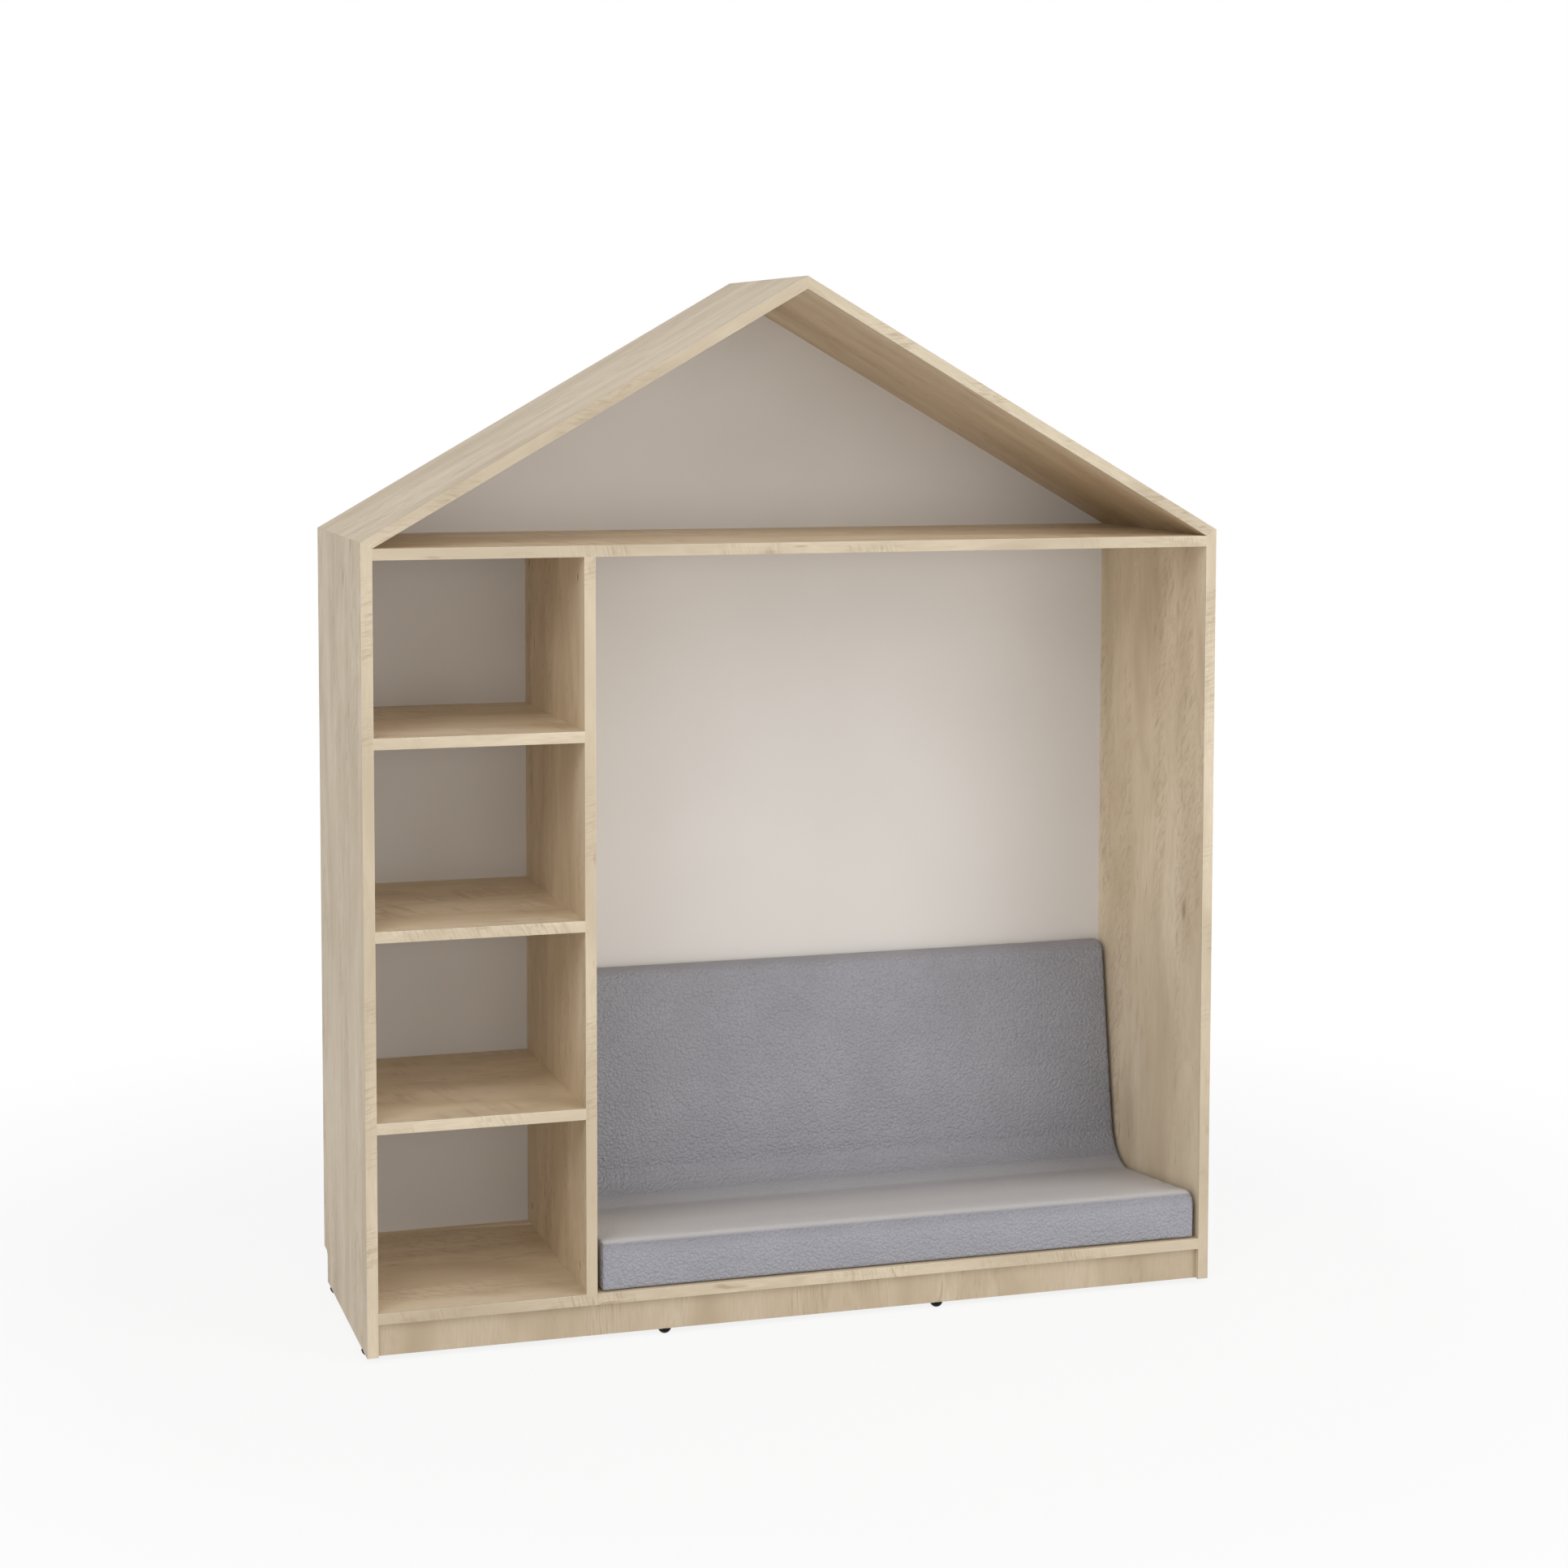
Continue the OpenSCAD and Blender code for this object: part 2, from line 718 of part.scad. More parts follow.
// A ring of points at one station, swollen by the crown where the length allows
function ring(station, depth) = let (
    share = station[0] / cushion_half,
    swell = crown * max(0, 1 - pow(share, 2))
) [for (p = outline(station[1])) [
    cushion_mid + station[0],
    p[0] + swell * p[4] * p[2],
    p[1] + swell * p[4] * p[3]
]];

module cushion_form(depth) {
    rows = stations(depth);
    rings = [for (row = rows) ring(row, depth)];
    per = len(rings[0]);
    last = len(rows) - 1;
    draw_y = cushion_rear - rest_low_t / 2;
    draw_z = cushion_low + seat_rear_t / 2;
    points = concat(
        [for (row = rings) each row],
        [
            [cushion_mid + rows[0][0] + end_draw, draw_y, draw_z],
            [cushion_mid + rows[last][0] - end_draw, draw_y, draw_z]
        ]
    );
    left_hub = len(points) - 2;
    right_hub = len(points) - 1;
    faces = concat(
        [for (j = [0:last - 1], i = [0:per - 1]) let (
            a = j * per + i,
            b = j * per + (i + 1) % per
        ) each [[a, a + per, b], [b, a + per, b + per]]],
        [for (i = [0:per - 1]) [left_hub, i, (i + 1) % per]],
        [for (i = [0:per - 1]) [right_hub, last * per + (i + 1) % per, last * per + i]]
    );
    polyhedron(points = points, faces = faces);
}

module cushion_cover() {
    color("#8f8f96") difference() {
        cushion_form(0);
        cushion_form(cover_wall);
    }
}

module foam_core() {
    color("#e9dfb8") cushion_form(cover_wall + soft_gap);
}

// ---- The assembly ----------------------------------------------------------

left_side_panel();
right_side_panel();
left_roof_panel();
right_roof_panel();
attic_shelf();
divider();
shelf(2);  // upper_shelf
shelf(1);  // middle_shelf
shelf(0);  // lower_shelf
bottom_panel();
plinth(0, front_plinth_y);  // front_plinth
plinth(1, rear_plinth_y);  // rear_plinth
back_panel();
left_side_band();
right_side_band();
left_roof_band();
right_roof_band();
level_band(-inner_x, inner_x, attic_under);  // attic_shelf_band
divider_band();
level_band(-inner_x, divider_x, shelf_under(2));  // upper_shelf_band
level_band(-inner_x, divider_x, shelf_under(1));  // middle_shelf_band
level_band(-inner_x, divider_x, shelf_under(0));  // lower_shelf_band
level_band(-inner_x, inner_x, deck_under);  // bottom_panel_band
mitre_biscuits();
wooden_dowels();
cam_housings();
cam_bolts();
cam_covers();
back_screws();
foot_sleeves();
foot(0);  // left_front_foot
foot(1);  // left_rear_foot
foot(2);  // right_front_foot
foot(3);  // right_rear_foot
foot(4);  // front_plinth_left_foot
foot(5);  // front_plinth_right_foot
foot(6);  // rear_plinth_left_foot
foot(7);  // rear_plinth_right_foot
cushion_cover();
foam_core();
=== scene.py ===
from math import pi, radians, tan

import bmesh
import bpy
import numpy as np
from mathutils import Matrix, Vector


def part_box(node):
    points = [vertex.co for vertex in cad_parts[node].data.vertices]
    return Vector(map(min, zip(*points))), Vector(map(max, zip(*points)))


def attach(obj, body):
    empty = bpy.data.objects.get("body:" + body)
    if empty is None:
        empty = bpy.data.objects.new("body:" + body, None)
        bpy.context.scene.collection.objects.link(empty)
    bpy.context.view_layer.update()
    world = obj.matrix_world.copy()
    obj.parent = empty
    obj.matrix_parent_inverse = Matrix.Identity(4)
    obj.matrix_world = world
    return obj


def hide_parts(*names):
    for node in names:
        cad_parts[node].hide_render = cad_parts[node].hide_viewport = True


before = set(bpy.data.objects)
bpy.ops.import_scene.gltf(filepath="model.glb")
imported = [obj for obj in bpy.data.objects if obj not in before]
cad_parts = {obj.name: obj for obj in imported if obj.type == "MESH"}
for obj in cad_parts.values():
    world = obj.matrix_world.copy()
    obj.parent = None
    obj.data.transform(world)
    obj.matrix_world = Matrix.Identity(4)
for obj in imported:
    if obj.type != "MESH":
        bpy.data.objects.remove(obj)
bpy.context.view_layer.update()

scene = bpy.context.scene
scene.view_settings.view_transform = "Standard"

# ---- Camera ----------------------------------------------------------------
# The camera stands 4.7 m in front of the cabinet's middle and 1.4 m to the left
# of it, a little higher than the eaves, and looks slightly down. The focal
# length and the height of the optical axis are in pixels of a square picture.
picture_side = 1932
focal_length = 3652.6
axis_height = 724.5
sensor_width = 36
view_reach = 60
camera_place = (-1.4287, -4.7254, 1.5377)
turned_right = 17.160
tipped_down = 4.126
rolled = 0.093

camera_data = bpy.data.cameras.new("camera")
camera_data.sensor_width = sensor_width
camera_data.lens = focal_length / picture_side * sensor_width
camera_data.shift_y = axis_height / picture_side - 0.5
camera_data.clip_end = view_reach
camera = bpy.data.objects.new("camera", camera_data)
camera.matrix_world = (
    Matrix.Translation(camera_place)
    @ Matrix.Rotation(radians(-turned_right), 4, "Z")
    @ Matrix.Rotation(radians(90 - tipped_down), 4, "X")
    @ Matrix.Rotation(radians(rolled), 4, "Z")
)
scene.collection.objects.link(camera)
scene.camera = camera

# ---- Studio ----------------------------------------------------------------
# The room is white all round. Four soft lamps stand in front of the cabinet: a
# long one near the floor, one to the right, and two high ones. The floor is a
# sheet of white paper that shows a faint shadow under the cabinet.
plain_white = (1, 1, 1, 1)
room_level = 0.46
backdrop_level = 1

# Each lamp's place, size and power.
lamps = {
    "low_lamp": (Vector((0, -5.8, 1.1)), (7.0, 2.0), 81),
    "right_lamp": (Vector((2.8, -4.6, 1.9)), (3.0, 2.6), 42),
    "high_left_lamp": (Vector((-3.0, -3.2, 3.8)), (3.0, 3.0), 75),
    "high_right_lamp": (Vector((3.2, -3.2, 3.8)), (3.0, 3.0), 64),
}
lamp_aim = Vector((0.1, 0, 0.7))

# The paper's shadow is faded, and ends between these distances from the middle.
paper_white = (0.8, 0.8, 0.8, 1)
paper_rough = 0.9
paper_half = 9
shadow_faded = 0.86
shadow_ends = (1.1, 2.2)


def node(tree, kind, inputs=None, **settings):
    """A new shader node. inputs gives each socket a value or another node's output."""
    made = tree.nodes.new("ShaderNode" + kind)
    for name, value in settings.items():
        setattr(made, name, value)
    for socket, value in (inputs or {}).items():
        if isinstance(value, bpy.types.NodeSocket):
            tree.links.new(value, made.inputs[socket])
        else:
            made.inputs[socket].default_value = value
    return made


def new_material(name):
    """A new material, its node tree and its Principled shader."""
    material = bpy.data.materials.new(name)
    material.use_nodes = True
    tree = material.node_tree
    return material, tree, tree.nodes["Principled BSDF"]


def spread(tree, value, low, high, least=0.0, most=1.0):
    """value stretched so that low to high gives least to most."""
    sizes = {"Value": value, "From Min": low, "From Max": high, "To Min": least, "To Max": most}
    return node(tree, "MapRange", sizes).outputs[0]


def times(tree, first, second):
    """The product of two values."""
    return node(tree, "Math", {0: first, 1: second}, operation="MULTIPLY").outputs[0]


def as_background(tree):
    """1 for the rays that show the background, to the camera or in gloss and glass."""
    rays = node(tree, "LightPath").outputs
    direct = {0: rays["Is Camera Ray"], 1: rays["Is Glossy Ray"]}
    direct = node(tree, "Math", direct, operation="ADD").outputs[0]
    every = {0: direct, 1: rays["Is Transmission Ray"]}
    return node(tree, "Math", every, operation="ADD", use_clamp=True).outputs[0]


world = bpy.data.worlds.new("white_room")
scene.world = world
world.use_nodes = True
tree = world.node_tree
tree.nodes.clear()
room = node(tree, "Background", {"Color": plain_white, "Strength": room_level}).outputs[0]
backdrop = node(tree, "Background", {"Color": plain_white, "Strength": backdrop_level}).outputs[0]
either = node(tree, "MixShader", {0: as_background(tree), 1: room, 2: backdrop}).outputs[0]
node(tree, "OutputWorld", {0: either})

for name, (lamp_place, lamp_size, lamp_power) in lamps.items():
    lamp_data = bpy.data.lights.new(name, "AREA")
    lamp_data.shape = "RECTANGLE"
    lamp_data.size, lamp_data.size_y = lamp_size
    lamp_data.energy = lamp_power
    lamp = bpy.data.objects.new(name, lamp_data)
    lamp.location = lamp_place
    lamp.rotation_euler = (lamp_aim - lamp_place).to_track_quat("-Z", "Y").to_euler()
    scene.collection.objects.link(lamp)

paper, tree, shader = new_material("floor_paper")
shader.inputs["Base Color"].default_value = paper_white
shader.inputs["Roughness"].default_value = paper_rough
spot = node(tree, "TexCoord").outputs["Object"]
reach = node(tree, "VectorMath", {0: spot}, operation="LENGTH").outputs["Value"]
fading = spread(tree, reach, *shadow_ends, shadow_faded, 1)
share = times(tree, fading, as_background(tree))
glow = node(tree, "Emission", {"Color": plain_white, "Strength": backdrop_level}).outputs[0]
lit = node(tree, "MixShader", {0: share, 1: shader.outputs[0], 2: glow}).outputs[0]
tree.links.new(lit, tree.nodes["Material Output"].inputs["Surface"])

bm = bmesh.new()
bmesh.ops.create_grid(bm, x_segments=1, y_segments=1, size=paper_half)
floor_mesh = bpy.data.meshes.new("floor")
bm.to_mesh(floor_mesh)
bm.free()
floor = bpy.data.objects.new("floor", floor_mesh)
floor.data.materials.append(paper)
scene.collection.objects.link(floor)

# ---- Side panels -----------------------------------------------------------
# The two walls of the house are 18 mm chipboard faced with maple laminate,
# whose grain runs up the wall. They are cut to a mitre at the eaves, where the
# roof is glued to them, and notched at the rear bottom corner for a skirting.
laminate_pale = (0.780, 0.652, 0.480)
laminate_deep = (0.600, 0.478, 0.322)
laminate_blush = (0.500, 0.370, 0.250)
laminate_mark = (0.340, 0.240, 0.140)
arris_wear_and_highlight = (0.80, 0.72, 0.60)
laminate_rough = (0.42, 0.56)
laminate_gloss = 0.35
pore_strength, pore_depth = 0.22, 0.0002
upright = (0, pi / 2, 0)

# How many there are a metre, along the grain, across it and through the board.
cloud_counts = (2.6, 10, 10)
streak_counts = (17, 75, 75)
fibre_counts = (40, 420, 420)
patch_counts = (2.6, 8, 8)
blotch_counts = (6, 17, 17)
dash_counts = (22, 90, 90)
knot_counts = (2.6, 6.5, 0)

# How strongly each shows where it is darkest. The dashes' share is one of the streaks'.
usual_marked = 0.75
dash_share = 0.8
fibre_share = 0.50
curl_share = 0.70
blotch_share = 0.40
knot_share, halo_share = 0.75, 0.28
arris_wear_and_highlight_share = 0.45

# A figure is its angle to the grain, its marks a metre and its patches a metre.
board_figure = (0.6, (45, 150, 150), (1.3, 15, 15))
side_knots = 0.30

# The CAD mesh is welded and its flat faces joined. A sharp edge is then eased, unless it is short
# or on the glue line of the front bands. Only the long edges get the board's full arris.
board_arris = 0.00025
joint_arris = 0.0002
arris_steps = 2
weld = 0.000005
flat_angle = radians(0.5)
sliver = 0.00002
glue_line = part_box("left_side_panel")[0].y
on_line = 0.0001
shortest_eased = 0.012
long_share = 0.6
sharp_angle = radians(25)
smooth_angle = radians(20)


def shade(tree, share, first, second):
    """The colour between two, which are colours or sockets."""
    tones = {0: share}
    for socket, tone in ((6, first), (7, second)):
        tones[socket] = tone if isinstance(tone, bpy.types.NodeSocket) else (*tone, 1)
    return node(tree, "Mix", tones, data_type="RGBA").outputs[2]


def stretched(tree, place, counts):
    """place counted in so many steps a metre along each axis."""
    return node(tree, "VectorMath", {0: place, 1: counts}, operation="MULTIPLY").outputs[0]


def flecks(tree, place, counts, detail=2.0, warp=0.0):
    """Noise with so many marks a metre along each axis."""
    steps = stretched(tree, place, counts)
    marks = {"Vector": steps, "Scale": 1.0, "Detail": detail, "Distortion": warp}
    return node(tree, "TexNoise", marks).outputs[0]


def dress(tree, shader, colour, rough, height, strength, depth):
    """Gives the shader its colour, its roughness and a relief of that strength and depth."""
    relief = {"Height": height, "Strength": strength, "Distance": depth}
    bump = node(tree, "Bump", relief).outputs[0]
    tree.links.new(colour, shader.inputs["Base Color"])
    tree.links.new(rough, shader.inputs["Roughness"])
    tree.links.new(bump, shader.inputs["Normal"])


def maple(name, turn, start, tones, figure, knots=0.0, marked=usual_marked):
    """Maple with its grain along the turned X axis. start is the place in the log that the piece
    was cut from, and tones are the pale wood, the deep wood and the flame of the figure. knots is
    the share of the places for a knot that hold one, and marked is how strongly the dark streaks
    and dashes show."""
    pale, deep, flame = tones
    figure_turn, figure_counts, figure_patches = figure
    material, tree, shader = new_material(name)
    axes = node(tree, "TexCoord").outputs
    laid = {"Vector": axes["Object"], "Location": start, "Rotation": turn}
    grain = node(tree, "Mapping", laid).outputs[0]

    clouds = flecks(tree, grain, cloud_counts, 2, 0.5)
    streaks = flecks(tree, grain, streak_counts, 2, 0.6)
    fibres = flecks(tree, grain, fibre_counts, 3)
    patches = spread(tree, flecks(tree, grain, patch_counts, 1), 0.44, 0.62)
    tone = shade(tree, spread(tree, clouds, 0.33, 0.67), pale, deep)
    streaked = times(tree, spread(tree, streaks, 0.48, 0.72, 0, marked), patches)
    tone = shade(tree, streaked, tone, deep)
    tone = shade(tree, spread(tree, fibres, 0.36, 0.72, 0, fibre_share), tone, deep)

    across = node(tree, "Mapping", {"Vector": grain, "Rotation": (0, 0, figure_turn)}).outputs[0]
    curl = spread(tree, flecks(tree, across, figure_counts, 3, 0.9), 0.46, 0.68, 0, curl_share)
    curled = spread(tree, flecks(tree, grain, figure_patches, 2), 0.50, 0.62)
    tone = shade(tree, times(tree, curl, curled), tone, flame)
    blotches = flecks(tree, grain, blotch_counts, 2, 0.8)
    tone = shade(tree, spread(tree, blotches, 0.56, 0.76, 0, blotch_share), tone, flame)

    dashes = flecks(tree, grain, dash_counts, 1)
    dashed = times(tree, spread(tree, dashes, 0.64, 0.78, 0, dash_share * marked), patches)
    tone = shade(tree, dashed, tone, laminate_mark)

    if knots:
        spots = {"Vector": stretched(tree, grain, knot_counts), "Scale": 1.0}
        cell = node(tree, "TexVoronoi", spots, voronoi_dimensions="2D").outputs
        chosen = spread(tree, cell["Color"], 1 - knots, 1 - knots + 0.02)
        core = spread(tree, cell["Distance"], 0.055, 0.020, 0, knot_share)
        halo = spread(tree, cell["Distance"], 0.240, 0.050, 0, halo_share)
        tone = shade(tree, times(tree, halo, chosen), tone, laminate_blush)
        tone = shade(tree, times(tree, core, chosen), tone, laminate_mark)

    # The arrises are painted a little paler, partly as rubbing and partly as a painted highlight:
    # their normals lie between the board's own axes.
    normal = {"Vector": axes["Normal"], "Rotation": turn}
    facing = node(tree, "Mapping", normal, vector_type="NORMAL").outputs[0]
    square = node(tree, "VectorMath", {0: facing}, operation="ABSOLUTE").outputs[0]
    parts = node(tree, "SeparateXYZ", {0: square}).outputs
    most = node(tree, "Math", {0: parts[0], 1: parts[1]}, operation="MAXIMUM").outputs[0]
    most = node(tree, "Math", {0: most, 1: parts[2]}, operation="MAXIMUM").outputs[0]
    tone = shade(tree, spread(tree, most, 0.97, 0.80, 0, arris_wear_and_highlight_share), tone, arris_wear_and_highlight)

    rough = spread(tree, streaks, 0.3, 0.7, *laminate_rough)
    dress(tree, shader, tone, rough, fibres, pore_strength, pore_depth)
    shader.inputs["Specular IOR Level"].default_value = laminate_gloss
    return material


def laminate(name, turn, start, painted_light=1.0, figure=board_figure, knots=0.0, marked=usual_marked):
    """The maple on one board. Its colours are scaled paler or darker than the other boards', as
    painted lighting and shade for how brightly that board is lit.
    """
    tones = [np.multiply(painted_light, tone) for tone in (laminate_pale, laminate_deep, laminate_blush)]
    return maple(name + "_laminate", turn, start, tones, figure, knots, marked)


def eased(name, arris, material):
    """The CAD piece with its arrises taken off, except where a board and its band are glued."""
    shape = bmesh.new()
    shape.from_mesh(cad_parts[name].data)
    bmesh.ops.remove_doubles(shape, verts=shape.verts, dist=weld)
    bmesh.ops.dissolve_limit(
        shape,
        angle_limit=flat_angle,
        verts=shape.verts,
        edges=shape.edges,
        use_dissolve_boundaries=False,
    )
    bmesh.ops.dissolve_degenerate(shape, dist=sliver, edges=shape.edges)
    weight = shape.edges.layers.float.new("bevel_weight_edge")
    longest = max(edge.calc_length() for edge in shape.edges)
    for edge in shape.edges:
        length = edge.calc_length()
        glued = all(abs(vert.co.y - glue_line) < on_line for vert in edge.verts)
        if length <= shortest_eased or glued or len(edge.link_faces) != 2:
            continue
        if edge.calc_face_angle() > sharp_angle:
            edge[weight] = 1 if length > long_share * longest else joint_arris / arris
    mesh = bpy.data.meshes.new(name + "_eased")
    shape.to_mesh(mesh)
    shape.free()
    mesh.materials.append(material)
    mesh.shade_smooth()
    mesh.set_sharp_from_angle(angle=smooth_angle)
    piece = bpy.data.objects.new(name + "_eased", mesh)
    scene.collection.objects.link(piece)
    bevel = piece.modifiers.new("arris", "BEVEL")
    bevel.limit_method = "WEIGHT"
    bevel.width = arris
    bevel.segments = arris_steps
    bevel.use_clamp_overlap = False
    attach(piece, "cabinet")
    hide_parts(name)


# Each side's colours are scaled as painted lighting and shade: the left wall a little darker, the
# right wall, whose inner face is in the nook, paler and bluer.
for name, start, painted_light, marked in (
    ("left_side_panel", (0.3, 1.1, 0), 0.95, 0.85),
    ("right_side_panel", (2.2, 4.3, 0), (1.08, 1.11, 1.15), 0.45),
):
    side_wood = laminate(name, upright, start, painted_light, knots=side_knots, marked=marked)
    eased(name, board_arris, side_wood)

# ---- Bottom panel and plinths ----------------------------------------------
# The bottom panel hangs between the side panels on cams and dowels. The two
# plinths stand on edge under it, with their grain upright, and carry four of
# the feet.
level = (0, 0, 0)
on_edge = (pi / 2, 0, pi / 2)
# The bottom panel's colours are scaled a little paler as painted lighting. The plinths' are
# scaled much darker, partly for their own darker print and partly as painted shade on these low
# front faces.
bottom_painted_light, plinth_painted_light = 1.06, 0.72
plinth_figure = (0.05, (16, 480, 480), (3, 12, 12))

bottom_wood = laminate("bottom_panel", level, (1.7, 0.4, 0), bottom_painted_light)
eased("bottom_panel", board_arris, bottom_wood)
for name, start in (("front_plinth", (5.1, 0, 2.6)), ("rear_plinth", (6.3, 0, 3.1))):
    plinth_wood = laminate(name, on_edge, start, plinth_painted_light, figure=plinth_figure)
    eased(name, board_arris, plinth_wood)

# ---- Divider ---------------------------------------------------------------
# The wall between the bays and the nook is the same board, fixed with cams to
# the bottom panel and to the attic shelf.
# The divider's colours are scaled a little paler as painted lighting.
divider_painted_light = 1.06
divider_wood = laminate("divider", upright, (3.4, 2.5, 0), divider_painted_light)
eased("divider", board_arris, divider_wood)

# ---- Shelves ---------------------------------------------------------------
# Three fixed shelves make four bays. Their grain runs from side to side, with
# a blotchy figure that crosses it at an angle.
# The shelves' and the attic shelf's colours are scaled a little paler as painted lighting.
shelf_painted_light = 1.05
shelf_figure = (1.35, (6, 45, 45), (4, 9, 9))
for name, start in (
    ("lower_shelf", (0.2, 3.3, 0)),
    ("middle_shelf", (4.1, 1.9, 0)),
    ("upper_shelf", (7.3, 0.6, 0)),
):
    shelf_wood = laminate(name, level, start, shelf_painted_light, figure=shelf_figure)
    eased(name, board_arris, shelf_wood)

# ---- Attic shelf -----------------------------------------------------------
# One board at the height of the eaves is the ceiling of the bays and of the
# nook, and ties the two side panels together.
attic_wood = laminate("attic_shelf", level, (8.8, 2.9, 0), shelf_painted_light, figure=shelf_figure)
eased("attic_shelf", board_arris, attic_wood)

# ---- Roof panels -----------------------------------------------------------
# The two slopes are mitred at the eaves and at the ridge, and glued there with
# biscuits. Their grain runs up the slope.
roof_angle = radians(30)
for name, slope, start in (
    ("left_roof_panel", roof_angle, (1.3, 5.2, 0)),
    ("right_roof_panel", -roof_angle, (9.4, 3.7, 0)),
):
    eased(name, board_arris, laminate(name, (0, slope, 0), start))

# ---- Back panel ------------------------------------------------------------
# The back is one sheet of 3 mm hardboard that slides in a groove. Its face is
# lacquered a plain pale greige, and its rear side is bare brown fibre.
lacquer = (0.676, 0.643, 0.612)
lacquer_dull = (0.656, 0.623, 0.592)
bare_fibre = (0.300, 0.190, 0.110)
bare_fibre_pale = (0.420, 0.285, 0.175)
lacquer_rough, fibre_rough = 0.52, 0.85
back_gloss = 0.3
lacquer_counts = (4, 4, 4)
dust_counts = (900, 900, 900)
felt_counts = (330, 330, 330)
felt_strength, felt_depth = 0.15, 0.0003


def finish_node(name, material):
    """The CAD node keeps its shape and gets this material."""
    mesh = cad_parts[name].data
    mesh.materials.clear()
    mesh.materials.append(material)


hardboard, tree, shader = new_material("back_hardboard")
axes = node(tree, "TexCoord").outputs
cloudy = flecks(tree, axes["Object"], lacquer_counts, 2)
dusty = flecks(tree, axes["Object"], dust_counts, 2)
face = shade(tree, spread(tree, cloudy, 0.35, 0.65), lacquer, lacquer_dull)
felt = flecks(tree, axes["Object"], felt_counts, 4, 1.0)
rear = shade(tree, spread(tree, felt, 0.35, 0.70), bare_fibre, bare_fibre_pale)
rearward = node(tree, "SeparateXYZ", {0: axes["Normal"]}).outputs["Y"]
behind = spread(tree, rearward, 0.4, 0.6)
tone = shade(tree, behind, face, rear)
rough = spread(tree, behind, 0, 1, lacquer_rough, fibre_rough)
coarse = node(tree, "Mix", {0: behind, 2: dusty, 3: felt}, data_type="FLOAT").outputs[0]
dress(tree, shader, tone, rough, coarse, felt_strength, felt_depth)
shader.inputs["Specular IOR Level"].default_value = back_gloss
finish_node("back_panel", hardboard)

# ---- Edge bands ------------------------------------------------------------
# A plastic band, 2 mm thick and printed like maple, is glued to the front edge
# of every board that shows. Its colours are set a little darker and greyer than
# the boards' as painted shade on these front faces. Its print has a fine figure
# across it, and its two front arrises are rounded.
band_pale = (0.670, 0.570, 0.424)
band_deep = (0.505, 0.416, 0.294)
band_flame = (0.400, 0.305, 0.200)
band_figure_counts = (30, 250, 30)
band_figure_patches = (10, 10, 10)
band_arris = 0.0007

# Each band's angle to the floor, its start in the print, how far its figure leans, and its
# painted lighting, which scales it paler or darker.
bands = {
    "left_side_band": (pi / 2, (0.7, 0.2, 0), 0.25, 1),
    "right_side_band": (pi / 2, (3.9, 1.7, 0), 0.25, 0.98),
    "divider_band": (pi / 2, (6.1, 2.3, 0), 0.25, 1.05),
    "left_roof_band": (roof_angle, (1.2, 3.6, 0), 1.0, 0.90),
    "right_roof_band": (-roof_angle, (4.7, 5.8, 0), -1.0, 0.88),
    "attic_shelf_band": (0, (2.9, 6.6, 0), 0.25, 0.95),
    "upper_shelf_band": (0, (5.5, 7.7, 0), 0.5, 1),
    "middle_shelf_band": (0, (8.1, 8.4, 0), 0.5, 1),
    "lower_shelf_band": (0, (9.6, 9.3, 0), 0.5, 1),
    "bottom_panel_band": (0, (7.4, 0.9, 0), 0.25, 0.97),
}
for name, (run, start, lean, painted_light) in bands.items():
    tones = [np.multiply(painted_light, tone) for tone in (band_pale, band_deep, band_flame)]
    band_figure = (pi / 2 + lean, band_figure_counts, band_figure_patches)
    printed = maple(name + "_maple", (pi / 2, 0, run), start, tones, band_figure)
    eased(name, band_arris, printed)

# ---- Fittings in the boards ------------------------------------------------
# Zinc cams sit in pockets in the boards, and plated bolts run into them. The
# dowels and the biscuits are beech. The divider's four cams are in sight, so a
# plastic cover is pressed over each. Its colour is a darker brown than the
# maple, as painted shade for the recess it sits in.
grit_strength, grit_depth = 0.2, 0.0001


def fitting(name, colour, worn, metal, rough, counts):
    """A plain finish, with fine mottling in its colour, its gloss and its surface."""
    material, tree, shader = new_material(name)
    place = node(tree, "TexCoord").outputs["Object"]
    mottle = flecks(tree, place, counts, 3, 0.4)
    tone = shade(tree, spread(tree, mottle, 0.35, 0.7), colour, worn)
    matt = spread(tree, mottle, 0.3, 0.7, *rough)
    dress(tree, shader, tone, matt, mottle, grit_strength, grit_depth)
    shader.inputs["Metallic"].default_value = metal
    return material


zinc = fitting(
    "cast_zinc", (0.52, 0.53, 0.54), (0.40, 0.41, 0.42), 1, (0.40, 0.60), (700, 700, 700)
)
plated = fitting(
    "plated_steel", (0.62, 0.63, 0.64), (0.50, 0.50, 0.48), 1, (0.25, 0.45), (500, 500, 500)
)
beech = fitting(
    "bare_beech", (0.60, 0.42, 0.24), (0.50, 0.33, 0.18), 0, (0.60, 0.80), (300, 900, 300)
)
# Painted shade: the covers are a darker brown than the maple, for their recesses.
cover = fitting(
    "cover_plastic", (0.47, 0.35, 0.23), (0.41, 0.30, 0.19), 0, (0.45, 0.55), (900, 900, 900)
)
finish_node("cam_housings", zinc)
finish_node("cam_bolts", plated)
finish_node("wooden_dowels", beech)
finish_node("mitre_biscuits", beech)
finish_node("cam_covers", cover)

# ---- Back screws -----------------------------------------------------------
# Twenty plated countersunk screws hold the back to the level boards and to the
# divider. They are seen only from behind.
finish_node("back_screws", plated)

